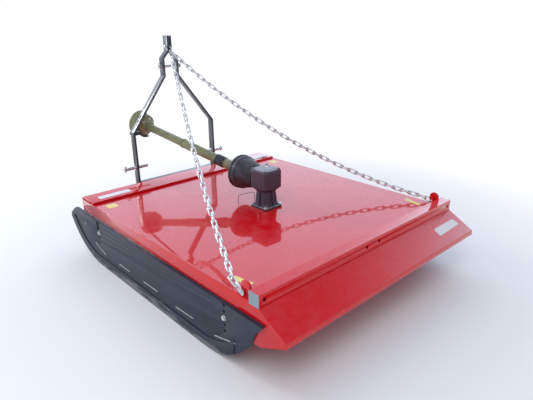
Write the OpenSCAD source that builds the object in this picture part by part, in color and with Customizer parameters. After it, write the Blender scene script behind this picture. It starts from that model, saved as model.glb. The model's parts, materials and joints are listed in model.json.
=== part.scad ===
// Tractor-mounted rotary cutter: a steel deck on two skids, with a three-point mast at the front,
// an overhead gearbox, a guarded drive shaft parked on the mast, and one rotor with swinging blades.
// +Y is forward (towards the tractor), +X is right, Z = 0 is the ground under the skids.
// Inside the modules Y is measured from the front face of the rear tube.

/* [Deck] */
// Width over the two side plates
deck_w = 1500; // [1300:10:1800]
// Length of the deck from the rear tube to the front edge
deck_l = 1600; // [1560:10:1900]
// Height of the deck's top face above the ground
deck_h = 370; // [360:5:420]
// Thickness of the deck sheet
deck_t = 5; // [4:1:8]
// Length of the raised strip along the front edge
strip_l = 150; // [100:10:180]
// Height of the raised strip above the deck
strip_h = 14; // [10:1:20]
// Thickness of the strip's folded sheet
strip_t = 4; // [3:1:5]
// Depth of the front apron below the deck's top face
apron_d = 110; // [80:5:150]
// Thickness of the front apron
apron_t = 6; // [4:1:10]
// Thickness of the side plates
side_t = 6; // [5:1:8]
// Depth of the side plates below the deck's top face
side_d = 195; // [180:5:200]

/* [Rear tube and skirt] */
// Side of the square tube
tube_w = 60; // [50:1:80]
// Wall of the square tube
tube_wall = 4; // [3:1:6]
// Height of the tube's top face above the deck
tube_rise = 45; // [35:1:50]
// Radius of the holes through the tube
tube_hole_r = 9; // [6:0.5:11]
// Distance of the outer holes from the tube's ends
tube_hole_in = 30; // [28:1:60]
// Distance between the two middle holes
tube_hole_gap = 100; // [60:5:200]
// Thickness of the end plug's face
plug_t = 3; // [2:1:5]
// Depth of the end plug's spigot
plug_in = 12; // [8:1:15]
// Length that the skirt reaches back from the tube
skirt_run = 150; // [120:5:200]
// Height that the skirt falls over that length
skirt_fall = 84; // [60:2:100]
// Depth of the folded lip along the skirt's lower edge
skirt_lip = 26; // [15:1:40]
// Thickness of the skirt
skirt_t = 5; // [4:1:6]

/* [Chain lugs] */
// Distance from the deck's side to the middle of a lug
lug_in = 18; // [14:1:40]
// Width of a lug along the deck
lug_w = 54; // [44:2:70]
// Height of a lug above the deck
lug_h = 72; // [60:2:90]
// Thickness of a lug
lug_t = 10; // [8:1:14]
// Gap between a lug and the rear tube
lug_gap = 6; // [3:1:15]
// Radius of a lug bolt
lug_bolt_r = 5; // [4:0.5:5.5]
// Height of a lug bolt above the deck
lug_bolt_z = 15; // [14:1:20]

/* [Skids] */
// Distance from a side plate to the outer face of its skid
skid_gap = 20; // [18:1:30]
// Thickness of a skid's side plate
skid_t = 6; // [5:1:8]
// Depth of a skid's top edge below the deck's top face
skid_top_d = 74; // [70:2:90]
// Thickness of a skid's sole and rims
sole_t = 8; // [6:1:12]
// Width of a skid's sole
sole_w = 70; // [50:5:100]
// Radius of a skid's curved nose
nose_r = 460; // [420:10:480]
// Length that the nose reaches ahead of the deck
nose_out = 167; // [150:5:200]
// Radius of a skid's curved heel
heel_r = 430; // [400:10:450]
// Thickness of the wear strip on a skid's outer face
wear_t = 5; // [4:1:8]
// Width of the wear strip
wear_w = 57; // [40:1:70]
// Distance of the rear hole column from the rear tube
rear_col_y = 142; // [120:2:200]
// Distance of the front hole column from the deck's front edge
front_col_y = 240; // [200:5:300]
// Pitch of the height holes
height_pitch = 32; // [28:1:34]
// Number of height holes in a column
height_count = 5; // [3:1:5]
// Radius of a skid bolt
skid_bolt_r = 7; // [5:0.5:8]

/* [Mast] */
// Width of the mast's flat bar, along Y
bar_w = 50; // [40:2:60]
// Thickness of the flat bar
bar_t = 12; // [10:1:14]
// Distance from the deck's front edge to the middle of the mast
mast_out = 75; // [70:1:90]
// Distance between the middles of the two legs
leg_gap = 642; // [600:2:700]
// Depth of the leg's foot below the deck's top face
foot_d = 60; // [40:5:90]
// Height of the lower bend above the deck
bend_z = 343; // [320:5:360]
// Height of the clevis's lower end above the deck
clevis_z0 = 690; // [650:5:720]
// Height of the clevis's upper end above the deck
clevis_z1 = 805; // [790:5:830]
// Clear width between the clevis plates
clevis_gap = 94; // [80:2:110]
// Height where the two bars come together
head_z0 = 850; // [840:5:870]
// Height of the mast's top above the deck
head_z1 = 950; // [930:5:980]
// Clear width between the bars at the top
head_gap = 10; // [9:0.5:12]
// Height of the top link pin above the deck
top_pin_z = 752; // [735:1:765]
// Radius of the top link pin
top_pin_r = 9.5; // [9:0.5:12.5]
// Length of the top link pin
top_pin_l = 170; // [150:5:190]
// Height of the lower link pins above the deck
low_pin_z = 100; // [80:5:120]
// Radius of the lower link pins
low_pin_r = 11; // [10:0.5:14]
// Length of a lower link pin outside its leg
low_pin_out = 88; // [70:2:100]
// Length of a lower link pin inside its leg
low_pin_in = 78; // [40:2:90]
// Radius of the collar that each lower link pin has against its leg
low_collar_r = 19; // [15:1:24]
// Width of that collar
low_collar_w = 10; // [6:1:14]
// Height of the chain bolt above the deck
chain_bolt_z = 880; // [870:1:900]
// Radius of the chain bolt
chain_bolt_r = 7; // [5:0.5:7.5]
// Height of the cross beam
beam_h = 50; // [40:2:60]
// Depth of the cross beam ahead of the apron
beam_w = 62; // [58:1:80]
// Height of the cross beam's top above the deck
beam_rise = 4; // [0:1:10]
// Thickness of the cradle that the parked drive shaft lies in
rest_t = 5; // [4:0.5:8]
// Width of the cradle along the shaft
rest_w = 30; // [20:1:40]
// Length of the flat lip at the cradle's bottom
rest_lip = 20; // [10:1:30]
// Distance from the front bell's rear face to the cradle
rest_in = 6; // [3:1:12]
// Height of the top of the cradle's arm above the deck
rest_arm_z = 340; // [334:1:342]
// Height of the cradle's arm
rest_arm_h = 22; // [16:1:26]
// Length of the cradle's arm, before the cradle cuts it off
rest_arm_l = 60; // [52:1:70]
// Width of the cradle's arm along the machine
rest_arm_w = 58; // [54:1:62]

/* [Chains] */
// Diameter of the chain's wire
link_wire = 8; // [6:0.5:8.5]
// Number of links between the two end links of a chain
chain_links = 39; // [37:2:45]
// Inside width of a link
link_in_w = 13; // [13:0.5:14]
// Play between two links
link_play = 0.4; // [0.3:0.1:1]
// Shift of a chain's first link towards the other side
link_shift = 2; // [2:0.25:3]
// Spare length of a chain, as a share of its span
chain_slack = 0.014; // [0.01:0.002:0.03]
// Inside length of the link that hangs from the mast's top
master_l = 66; // [55:1:80]
// Inside width of that link
master_w = 26; // [24:1:30]
// Angle at which that link hangs, in degrees below the horizontal
master_fall = 42; // [30:1:55]
// Angle at which a chain leaves its lug, in degrees above the horizontal
end_rise = 12; // [5:1:30]

/* [Gearbox] */
// Distance from the rear tube to the rotor's axis
rotor_y = 711; // [700:1:740]
// Side of the gearbox's square foot
foot_w = 140; // [130:2:160]
// Thickness of the foot
foot_t = 12; // [8:1:16]
// Radius of the neck at the foot
neck_r0 = 66; // [58:1:66]
// Radius of the neck below the body
neck_r1 = 58; // [50:1:60]
// Height of the neck's top above the deck
neck_z = 106; // [95:1:110]
// Side of the gearbox's square body
body_w = 134; // [124:2:140]
// Height of the body's lower edge above the deck
body_z0 = 120; // [115:1:124]
// Height of the body's top above the deck
body_z1 = 226; // [220:1:240]
// Thickness of the top cover
cover_t = 12; // [8:1:16]
// Side of the top cover
cover_w = 128; // [110:2:134]
// Height of the input shaft's axis above the deck
input_z = 166; // [160:1:172]
// Radius of the bearing spigot below the deck
spigot_r = 48; // [44:1:60]
// Depth of the bearing spigot below the deck's top face
spigot_d = 45; // [35:1:50]

/* [Bell guard and input yoke] */
// Distance from the rotor's axis to the bell guard's rim
bell_y = 229; // [220:1:240]
// Radius of the bell guard's rim
bell_r1 = 104; // [95:1:115]
// Radius of the bell guard at the gearbox
bell_r0 = 60; // [52:1:62]
// Wall of the bell guard
bell_wall = 4; // [3:0.5:5]
// Distance from the rotor's axis to the centre of the input universal joint
joint_y = 179; // [175:1:185]
// Radius of the input shaft's hub
hub_r = 22; // [18:1:24]

/* [Drive shaft] */
// Distance from the middle of the left leg to the parked shaft, at the front bell's rear face
park_in = 131.5; // [130:0.5:134]
// Distance from the middle of the mast to the front bell's rear face
park_out = 25.8; // [24:0.2:28]
// Height of the parked shaft there, above the leg's bend
park_up = 17.2; // [16:0.2:18]
// Radius of the trunnions of a universal joint
trunnion_r = 8; // [6:0.5:9]
// Half length of the trunnions
trunnion_l = 34; // [34:1:38]
// Distance from the joint's axis to the inner face of a yoke ear
ear_in = 23; // [22:1:24]
// Thickness of a yoke ear
ear_t = 10; // [8:1:11]
// Width of a yoke ear
ear_w = 34; // [30:1:38]
// Distance from the joint's centre to the yoke's base
yoke_l = 38; // [36:1:42]
// Start of the guard's rear neck along the shaft
neck_t0 = 66; // [60:1:72]
// Start of the black collar along the shaft
collar_t0 = 165; // [150:1:180]
// End of the black collar along the shaft
collar_t1 = 235; // [220:1:245]
// End of the outer guard tube along the shaft
outer_t1 = 530; // [500:5:560]
// Outside radius of the black collar
collar_r = 33; // [31:1:36]
// Outside radius of the outer guard tube
guard_r = 29; // [28.5:0.5:31]
// Outside radius of the inner guard tube
inner_r = 25.5; // [24:0.5:26]
// Wall of the inner guard tube
inner_wall = 3; // [2:0.5:4]
// Start of the inner guard tube along the shaft
inner_t0 = 242; // [240:1:260]
// Length of the front bell
front_bell_l = 97; // [94:1:105]
// Radius of the front bell at its shoulder
front_bell_r0 = 72; // [68:1:74]
// Radius of the front bell at its rim
front_bell_r1 = 85; // [80:1:88]
// Length of the front bell's sloping shoulder
shoulder_l = 17; // [12:1:20]
// Wall of the front bell
front_bell_wall = 4; // [3:0.5:5]
// Radius of the drive tube inside the front guard
drive_r = 17; // [14:0.5:18]
// Distance from the front bell's rear face to the centre of the front universal joint
front_joint_in = 60; // [59:1:65]
// Length of the drive tube's start that stands clear of the outer guard tube
drive_clear = 30; // [20:5:60]
// Distance from the centre of that joint to the end of the front yoke's socket
yoke_reach = 75; // [70:1:85]
// Outside radius of the front yoke's socket
socket_r = 29; // [26:1:32]
// Radius of the splined bore in the front yoke
spline_r = 17.5; // [15:0.5:20]

/* [Rotor] */
// Radius of the rotor's hub
rotor_hub_r = 45; // [38:1:60]
// Radius of the rotor's shaft
rotor_shaft_r = 25; // [20:1:28]
// Height of the blade carrier's lower face above the ground
carrier_z = 205; // [202:1:215]
// Thickness of the blade carrier
carrier_t = 20; // [15:1:25]
// Width of the blade carrier
carrier_w = 110; // [90:2:140]
// Clearance from a blade's tip to the side plate
tip_gap = 46; // [30:1:60]
// Length of a blade from its pivot to its tip
blade_l = 268; // [240:2:270]
// Width of a blade
blade_w = 90; // [70:2:110]
// Thickness of a blade
blade_t = 12; // [8:1:14]
// Radius of a blade bolt
blade_bolt_r = 12; // [10:0.5:15]
// Gap between a blade and the carrier
blade_gap = 3; // [2:0.5:4]

/* [Fits] */
// Radial clearance of a turning pin
turn_fit = 0.1; // [0.05:0.01:0.1]
// Clearance of a fixed piece in its seat
seat_fit = 0.3; // [0.2:0.05:0.5]

/* [Hidden] */

$fn = 64;
red = [0.68, 0.11, 0.15];
skirt_red = [0.72, 0.13, 0.18];
slate = [0.23, 0.26, 0.32];
mast_grey = [0.29, 0.32, 0.37];
cast_grey = [0.33, 0.31, 0.37];
black = [0.16, 0.15, 0.17];
olive = [0.67, 0.69, 0.53];
zinc = [0.80, 0.81, 0.82];
steel = [0.55, 0.56, 0.57];
plug_grey = [0.55, 0.63, 0.72];

side = deck_w / 2;
tube_z0 = deck_h + tube_rise - tube_w;
tube_mid_z = tube_z0 + tube_w / 2;
side_z0 = deck_h - side_d;
mast_y = deck_l + mast_out;
leg_x = leg_gap / 2;
clevis_x = clevis_gap / 2 + bar_t / 2;
head_x = head_gap / 2 + bar_t / 2;
skid_x = side + skid_gap;
front_y = deck_l + apron_t;
joint = [0, rotor_y + joint_y, deck_h + input_z];

// Skirt: the knee of its outer face, and the end of its lip
knee = [-tube_w - skirt_run, tube_z0 - skirt_fall];
lip_run = 4;
lip_end = [knee.x - lip_run, knee.y - skirt_lip];

// The parked shaft runs from its rear joint to the middle of the front bell's rear face
park_run = [-leg_x + park_in, mast_y + park_out, deck_h + bend_z + park_up] - joint;
front_bell_t0 = norm(park_run);
front_bell_t1 = front_bell_t0 + front_bell_l;
front_joint_t = front_bell_t0 + front_joint_in;
yoke_t1 = front_joint_t + yoke_reach;
shaft_dir = park_run / front_bell_t0;
park_swing = atan2(-park_run.x, park_run.y);
park_rise = asin(shaft_dir.z);

// The front end of the yoke is the foremost point
front_reach = joint.y + yoke_t1 * shaft_dir.y + socket_r * sqrt(1 - pow(shaft_dir.y, 2));
y_shift = -(front_reach + lip_end.x) / 2;

// Places a piece that is drawn with Y measured from the rear tube
module place() translate([0, y_shift, 0]) children();

// Draws a piece of the left side as its mirror image on the right
module right_side() mirror([1, 0, 0]) children();

// Draws a piece on both sides
module both_sides() {
  children();
  right_side() children();
}

// A plate drawn as an outline in Y and Z, from x0 towards +X
module yz_plate(x0, t) translate([x0, 0, 0]) rotate([90, 0, 90]) linear_extrude(t) children();

// A round bar along X, Y or Z
module x_rod(r, x0, x1) translate([x0, 0, 0]) rotate([0, 90, 0]) cylinder(r = r, h = x1 - x0);
module y_rod(r, y0, y1) translate([0, y0, 0]) rotate([-90, 0, 0]) cylinder(r = r, h = y1 - y0);

// A hexagon head or nut along X
module x_hex(r, x0, x1) translate([x0, 0, 0]) rotate([0, 90, 0]) cylinder(r = r, h = x1 - x0, $fn = 6);

// Deck

module deck_plate() color(red) place() {
  hole_r = spigot_r + seat_fit;
  difference() {
    translate([-side + side_t, 0, deck_h - deck_t]) cube([deck_w - 2 * side_t, deck_l, deck_t]);
    translate([0, rotor_y, deck_h - deck_t - 1]) cylinder(r = hole_r, h = deck_t + 2);
  }
}

module front_strip() color(red) place() {
  y0 = deck_l - strip_l;
  difference() {
    translate([-side, y0, deck_h]) cube([deck_w, strip_l, strip_h]);
    translate([-side - 1, y0 + strip_t, deck_h - 1]) cube([deck_w + 2, strip_l, strip_h - strip_t + 1]);
  }
}

module front_apron() color(red) place()
  translate([-side, deck_l, deck_h - apron_d]) cube([deck_w, apron_t, apron_d + strip_h]);

// The side plate fills the space under the tube and follows the skirt down to its tip
module side_outline() {
  d = skirt_t * 1.15;
  polygon([[deck_l, deck_h], [deck_l, side_z0], [-tube_w, side_z0], [lip_end.x + skirt_t, lip_end.y],
    [knee.x + skirt_t, knee.y - d], [-tube_w, tube_z0 - d], [-tube_w, tube_z0], [0, tube_z0], [0, deck_h]]);
}

module side_plate_left() color(red) place() {
  hole_z = skid_bolt_z;
  difference() {
    yz_plate(-side, side_t) side_outline();
    for (y = column_ys)
      translate([-side - 1, y, hole_z]) x_rod(skid_bolt_r + seat_fit, 0, side_t + 2);
  }
}

module side_plate_right() right_side() side_plate_left();

// Rear tube, its end plugs and the skirt

tube_end = side - plug_t;

module rear_tube() color(red) place() {
  hole_x = [-tube_end + tube_hole_in, -tube_hole_gap / 2, tube_hole_gap / 2, tube_end - tube_hole_in];
  difference() {
    translate([-tube_end, -tube_w, tube_z0]) cube([2 * tube_end, tube_w, tube_w]);
    translate([-tube_end - 1, -tube_w + tube_wall, tube_z0 + tube_wall])
      cube([2 * tube_end + 2, tube_w - 2 * tube_wall, tube_w - 2 * tube_wall]);
    for (x = hole_x)
      translate([x, 0, tube_mid_z]) y_rod(tube_hole_r, -tube_w - 1, 1);
  }
}

module tube_plugs() color(plug_grey) place() both_sides() {
  spigot = tube_w - 2 * tube_wall - 2 * seat_fit;
  translate([-side, -tube_w, tube_z0]) cube([plug_t, tube_w, tube_w]);
  translate([-tube_end, -tube_w / 2 - spigot / 2, tube_mid_z - spigot / 2]) cube([plug_in, spigot, spigot]);
}

module rear_skirt() color(skirt_red) place() {
  d = skirt_t * 1.15;
  yz_plate(-side, deck_w)
    polygon([[-tube_w, tube_z0], knee, lip_end, [lip_end.x + skirt_t, lip_end.y],
      [knee.x + skirt_t, knee.y - d], [-tube_w, tube_z0 - d]]);
}

// Chain lugs and their bolts

lug_x = -side + lug_in;
lug_mid_y = lug_gap + lug_w / 2;
lug_bolt_y = lug_mid_y + 17;
lug_link_x = lug_x - lug_t / 2 - link_wire / 2 - link_play;

module chain_lug_left() color(red) place() {
  r = lug_w / 2;
  difference() {
    yz_plate(lug_x - lug_t / 2, lug_t) union() {
      translate([lug_gap, deck_h]) square([lug_w, lug_h - r]);
      translate([lug_mid_y, deck_h + lug_h - r]) circle(r = r);
    }
    translate([lug_x, lug_bolt_y, deck_h + lug_bolt_z]) x_rod(lug_bolt_r + seat_fit, -lug_t, lug_t);
  }
}

module chain_lug_right() right_side() chain_lug_left();

module lug_bolts() color(zinc) place() both_sides() translate([0, lug_bolt_y, deck_h + lug_bolt_z]) {
  head = 6;
  outer = lug_link_x - link_wire / 2 - link_play;
  inner = lug_x + lug_t / 2;
  x_rod(lug_bolt_r, outer - head, inner + 2 * head);
  x_hex(2 * lug_bolt_r, outer - head, outer);
  x_hex(2 * lug_bolt_r, inner + seat_fit, inner + head);
}

// Skids

column_ys = [rear_col_y, deck_l - front_col_y];
skid_bolt_z = deck_h - skid_top_d - 8 - 2 * height_pitch;
nose_y = deck_l + nose_out;
nose_tip_z = deck_h - 150;
nose_mid = [nose_y - nose_r * cos(asin((nose_r - nose_tip_z) / nose_r)), nose_r];
heel_mid = [320, heel_r];
heel_end_a = 218.8;
heel_top = [[-52, deck_h - 130], [-100, deck_h - skid_top_d]];

// Outline of a skid, drawn inside its edge by the distance e
function skid_outline(e) = let(
    nose_a = -asin((nose_mid.y - nose_tip_z) / nose_r),
    nose = [for (i = [0:16]) let(a = -90 + (nose_a + 90) * i / 16)
      [nose_mid.x + (nose_r - e) * cos(a), nose_mid.y + (nose_r - e) * sin(a)]],
    heel = [for (i = [0:16]) let(a = heel_end_a + (270 - heel_end_a) * i / 16)
      [heel_mid.x + (heel_r - e) * cos(a), heel_mid.y + (heel_r - e) * sin(a)]],
    front = [[nose_y - 8 - e, nose_tip_z + 26], [deck_l + 90 - 0.6 * e, deck_h - skid_top_d - e]],
    back = [[heel_top[1].x + 1.6 * e, heel_top[1].y - e], [heel_top[0].x + 1.1 * e, heel_top[0].y]])
  concat(heel, nose, front, back);

module skid_ring(e) difference() {
  polygon(skid_outline(0));
  polygon(skid_outline(e));
}

module skid_left() color(slate) place() {
  difference() {
    union() {
      yz_plate(-skid_x, skid_t) polygon(skid_outline(0));
      yz_plate(-skid_x + skid_t, skid_gap - skid_t) skid_ring(sole_t);
      yz_plate(-skid_x + skid_t, sole_w - skid_t) intersection() {
        skid_ring(sole_t);
        translate([-200, -1]) square([nose_y + 300, side_z0 - 4]);
      }
    }
    for (y = column_ys, k = [0:height_count - 1])
      translate([-skid_x, y, skid_bolt_z + (2 - k) * height_pitch])
        x_rod(skid_bolt_r + seat_fit, -1, skid_t + 1);
  }
}

module skid_right() right_side() skid_left();

module wear_strip_left() color(slate) place() yz_plate(-skid_x - wear_t, wear_t) {
  y0 = 80;
  intersection() {
    skid_ring(wear_w);
    union() {
      translate([y0, -1]) square([nose_mid.x - y0, deck_h - skid_top_d - 2 * wear_w]);
      translate([nose_mid.x - 1, -1]) square([nose_out + nose_r, deck_h - skid_top_d + 2]);
    }
  }
}

module wear_strip_right() right_side() wear_strip_left();

module skid_bolts() color(zinc) place() both_sides() for (y = column_ys)
  translate([0, y, skid_bolt_z]) {
    head = 9;
    x_rod(skid_bolt_r, -skid_x - head, -side + side_t + 2 * head);
    x_hex(1.7 * skid_bolt_r, -skid_x - head, -skid_x);
    x_hex(1.7 * skid_bolt_r, -side + side_t, -side + side_t + 11);
  }

// Mast

// Flat bar bent along the points of a path in X and Z, with its corners mitred
function bar_side(points, i) = let(
    last = len(points) - 1,
    before = points[max(i, 1)] - points[max(i, 1) - 1],
    after = points[min(i, last - 1) + 1] - points[min(i, last - 1)],
    mean = before / norm(before) + after / norm(after),
    turn = mean * before / norm(before) / norm(mean))
  [-mean.y, mean.x] / norm(mean) * bar_t / 2 / turn;

module bent_bar(points) {
  last = len(points) - 1;
  left = [for (i = [0:last]) points[i] + bar_side(points, i)];
  right = [for (i = [last:-1:0]) points[i] - bar_side(points, i)];
  translate([0, mast_y + bar_w / 2, 0]) rotate([90, 0, 0]) linear_extrude(bar_w)
    polygon(concat(left, right));
}

slant = atan2(leg_x - clevis_x, clevis_z0 - bend_z);

module mast_bar_left() color(mast_grey) place() difference() {
  bent_bar([[-leg_x, deck_h - foot_d], [-leg_x, deck_h + bend_z], [-clevis_x, deck_h + clevis_z0],
    [-clevis_x, deck_h + clevis_z1], [-head_x, deck_h + head_z0], [-head_x, deck_h + head_z1]]);
  translate([-leg_x, mast_y, deck_h + low_pin_z]) x_rod(low_pin_r + seat_fit, -bar_t, bar_t);
  translate([-clevis_x, mast_y, deck_h + top_pin_z]) x_rod(top_pin_r + seat_fit, -bar_t, bar_t);
  translate([-head_x, mast_y, deck_h + chain_bolt_z]) x_rod(chain_bolt_r + seat_fit, -bar_t, bar_t);
  for (up = [70, 106])
    translate([-leg_x, mast_y, deck_h + bend_z]) rotate([0, slant, 0])
      translate([-bar_t, -5, up]) cube([2 * bar_t, 10, 22]);
}

module mast_bar_right() right_side() mast_bar_left();

module mast_beam() color(mast_grey) place() {
  w = 2 * leg_x - bar_t;
  translate([-w / 2, front_y, deck_h + beam_rise - beam_h]) cube([w, beam_w, beam_h]);
}

module top_link_pin() color(zinc) place() translate([0, mast_y, deck_h + top_pin_z]) {
  x_rod(top_pin_r, -top_pin_l / 2, top_pin_l / 2);
  x_rod(1.6 * top_pin_r, top_pin_l / 2 - 8, top_pin_l / 2);
}

module lower_pins() color(zinc) place() both_sides() translate([-leg_x, mast_y, deck_h + low_pin_z]) {
  half = bar_t / 2;
  x_rod(low_pin_r, -half - low_pin_out, half + low_pin_in);
  x_rod(low_collar_r, -half - low_collar_w, -half);
  x_hex(1.6 * low_pin_r, half, half + low_collar_w);
}

module chain_bolt() color(zinc) place() translate([0, mast_y, deck_h + chain_bolt_z]) {
  out = head_x + bar_t / 2;
  x_rod(chain_bolt_r, -out - 8, out + 14);
  x_hex(1.8 * chain_bolt_r, -out - 8, -out);
  x_hex(1.8 * chain_bolt_r, out, out + 10);
}

module master_link() color(zinc) place() {
  top = chain_top - master_dir * link_hold(chain_bolt_r);
  link_between(top, chain_top + master_dir * master_reach, 90, master_l, master_w);
}

// The cradle on the left leg in which the parked shaft's front bell lies; its inner side is open
module at_cradle() translate(joint) rotate([park_rise, 0, park_swing])
  translate([0, front_bell_t0 + rest_in, 0]) rotate([-90, 0, 0]) children();

module shaft_rest() color(mast_grey) place() {
  flare = (front_bell_r1 - front_bell_r0) / (front_bell_t1 - front_bell_t0 - shoulder_l);
  r = front_bell_r0 + seat_fit + flare * (rest_in + rest_w - shoulder_l);
  x0 = -leg_x + bar_t / 2;
  at_cradle() difference() {
    union() {
      cylinder(r = r + rest_t, h = rest_w);
      translate([0, r, 0]) cube([rest_lip, rest_t, rest_w]);
    }
    translate([0, 0, -1]) cylinder(r = r, h = rest_w + 2);
    translate([0, -2 * r, -1]) cube([4 * r, 3 * r - 0.01, rest_w + 2]);
    translate([-2 * r, -2 * r, -1]) cube([4 * r, 2 * r, rest_w + 2]);
  }
  difference() {
    translate([x0, mast_y + 5, deck_h + rest_arm_z - rest_arm_h])
      cube([rest_arm_l, rest_arm_w, rest_arm_h]);
    at_cradle() translate([0, 0, -100]) cylinder(r = r + rest_t - 1, h = 200);
  }
}

// Chains

// What a link's pointed end adds to the pitch, and how far from its tip a round bar of radius r sits
link_nest = link_wire / 2 * tan(30) + link_play / 2;
function link_hold(r) = r / sin(60) + link_play;

// The first link hangs from the chain bolt, and the two chains lie one above the other in its lower end
chain_top = [0, mast_y, deck_h + chain_bolt_z];
master_dir = [0, -cos(master_fall), -sin(master_fall)];
master_side = [0, sin(master_fall), -cos(master_fall)];
master_reach = master_l - link_hold(chain_bolt_r);
beside = link_wire / 2 + link_play;
function chain_from(side) = chain_top + master_dir * (master_reach - beside * tan(30) - link_nest)
  + side * master_side * beside + [link_shift, 0, 0];

// The last link holds the lug bolt and lies in the plane of the lug
lug_hold = [lug_link_x, lug_bolt_y, deck_h + lug_bolt_z];
end_dir = [0, -cos(end_rise), -sin(end_rise)];
link_pitch = norm(lug_hold - chain_from(0)) * (1 + chain_slack) / (chain_links + 1);
link_in_l = link_pitch + 2 * link_nest;
end_near = lug_hold + end_dir * (link_hold(lug_bolt_r) - link_nest);
chain_to = end_near - end_dir * link_pitch;

function sinh(x) = (exp(x) - exp(-x)) / 2;
function cosh(x) = (exp(x) + exp(-x)) / 2;
function asinh(x) = ln(x + sqrt(x * x + 1));
chain_length = chain_links * link_pitch;

// The parameter of a catenary of that length, found by halving the range that holds it
function catenary_a(span, drop, lo, hi, n) = let(mid = (lo + hi) / 2)
  n == 0 ? mid
  : 2 * mid * sinh(span / (2 * mid)) > sqrt(pow(chain_length, 2) - drop * drop)
    ? catenary_a(span, drop, mid, hi, n - 1)
  : catenary_a(span, drop, lo, mid, n - 1);

// The points where the links of a chain meet, from the mast down to the lug
function catenary(from, to) = let(
    span = norm([to.x - from.x, to.y - from.y]),
    drop = to.z - from.z,
    a = catenary_a(span, drop, 200, 20000, 40),
    low = span / 2 - a * asinh(drop / (2 * a * sinh(span / (2 * a)))))
  [for (k = [0:chain_links]) let(
      u = low + a * asinh(k * link_pitch / a - sinh(low / a)),
      rise = a * (cosh((u - low) / a) - cosh(low / a)))
    [from.x + (to.x - from.x) * u / span, from.y + (to.y - from.y) * u / span, from.z + rise]];

// A long link that lies along X, in the plane of X and Y
module chain_link(in_l, in_w) translate([0, 0, -link_wire / 2]) linear_extrude(link_wire) difference() {
  half = (in_l - in_w) / 2;
  r = in_w / 2 + link_wire;
  union() {
    translate([-half, -r]) square([2 * half, 2 * r]);
    for (s = [-1, 1]) translate([s * half, 0]) circle(r = r, $fn = 6);
  }
  union() {
    translate([-half, -in_w / 2]) square([2 * half, in_w]);
    for (s = [-1, 1]) translate([s * half, 0]) circle(r = in_w / 2, $fn = 6);
  }
}

// Puts a link between two points, turned about its length by roll
module link_between(a, b, roll, in_l, in_w) {
  d = b - a;
  flat = norm([d.x, d.y]);
  translate((a + b) / 2) rotate([roll, -atan2(d.z, flat), atan2(d.y, d.x)]) chain_link(in_l, in_w);
}

// The chain of one side: side is 1 on the left, and the right one is drawn as its mirror image
module chain(side) {
  points = catenary(chain_from(side), chain_to);
  first = points[1] - points[0];
  level = atan(first.z / norm(first) * first.x / first.y);
  for (k = [0:chain_links - 1])
    link_between(points[k], points[k + 1], k == 0 ? level : k % 2 == 0 ? 0 : 90, link_in_l, link_in_w);
  link_between(chain_to, end_near, 90, link_in_l, link_in_w);
}

module chain_left() color(zinc) place() chain(1);

module chain_right() color(zinc) place() right_side() chain(-1);

// Gearbox

bell_y0 = body_w / 2 + 8;

module gearbox_housing() color(cast_grey) place() translate([0, rotor_y, deck_h]) difference() {
  bolt = foot_w / 2 - 14;
  union() {
    translate([-foot_w / 2, -foot_w / 2, 0]) cube([foot_w, foot_w, foot_t]);
    for (x = [-bolt, bolt], y = [-bolt, bolt]) translate([x, y, 0]) cylinder(r = 11, h = foot_t + 9, $fn = 6);
    cylinder(r1 = neck_r0, r2 = neck_r1, h = neck_z);
    translate([0, 0, neck_z - 1]) cylinder(r1 = neck_r1, r2 = neck_r1 + 8, h = body_z0 - neck_z + 1);
    translate([-body_w / 2, -body_w / 2, body_z0]) cube([body_w, body_w, body_z1 - body_z0]);
    translate([0, 0, input_z]) y_rod(44, 0, bell_y0);
    translate([0, 0, -spigot_d]) cylinder(r = spigot_r, h = spigot_d + 1);
  }
  translate([0, 0, -spigot_d - 1]) cylinder(r = rotor_shaft_r + turn_fit, h = spigot_d - deck_t + 1);
}

module gearbox_cover() color(cast_grey) place() translate([0, rotor_y, deck_h + body_z1]) {
  translate([-cover_w / 2, -cover_w / 2, 0]) cube([cover_w, cover_w, cover_t]);
}

module bell_guard() color(black) place() translate([0, rotor_y, deck_h + input_z]) {
  rotate([-90, 0, 0]) rotate_extrude() polygon([
    [hub_r + 8, bell_y0], [bell_r0, bell_y0], [bell_r0 + 12, bell_y0 + 18], [bell_r1 - 6, bell_y - 60],
    [bell_r1, bell_y], [bell_r1 - bell_wall, bell_y], [bell_r1 - 6 - bell_wall, bell_y - 60],
    [bell_r0 + 12 - bell_wall, bell_y0 + 18 + bell_wall], [hub_r + 8, bell_y0 + bell_wall]]);
}

// Universal joint and drive shaft

// Yoke along +Y whose ears stand on both sides of the X axis; the joint's centre is the origin
module yoke_ears(hub_end, r) difference() {
  union() {
    for (s = [-1, 1]) translate([s > 0 ? ear_in : -ear_in - ear_t, 0, 0]) rotate([90, 0, 90])
      linear_extrude(ear_t) union() {
        circle(r = ear_w / 2);
        translate([0, -ear_w / 2]) square([yoke_l, ear_w]);
      }
    y_rod(ear_in + ear_t, yoke_l, yoke_l + 10);
    y_rod(r, yoke_l, hub_end);
  }
  x_rod(trunnion_r + turn_fit, -2 * ear_in - ear_t, 2 * ear_in + ear_t);
}

module input_yoke() color(steel) place() translate(joint) rotate([0, 90, 180])
  yoke_ears(joint_y - bell_y0, hub_r);

module parked() place() translate(joint) rotate([park_rise, 0, park_swing]) children();

module joint_cross() color(steel) {
  place() translate(joint) {
    translate([0, 0, -trunnion_l]) cylinder(r = trunnion_r, h = 2 * trunnion_l);
    sphere(r = 15);
    rotate([0, 0, park_swing]) x_rod(trunnion_r, -trunnion_l, trunnion_l);
  }
}

module rear_yoke() color(steel) parked() yoke_ears(neck_t0 + 40, hub_r);

module guard_neck() color(olive) parked() difference() {
  y_rod(guard_r + 2, neck_t0, collar_t0);
  y_rod(hub_r + seat_fit, neck_t0 - 1, neck_t0 + 40 + seat_fit);
}

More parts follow.
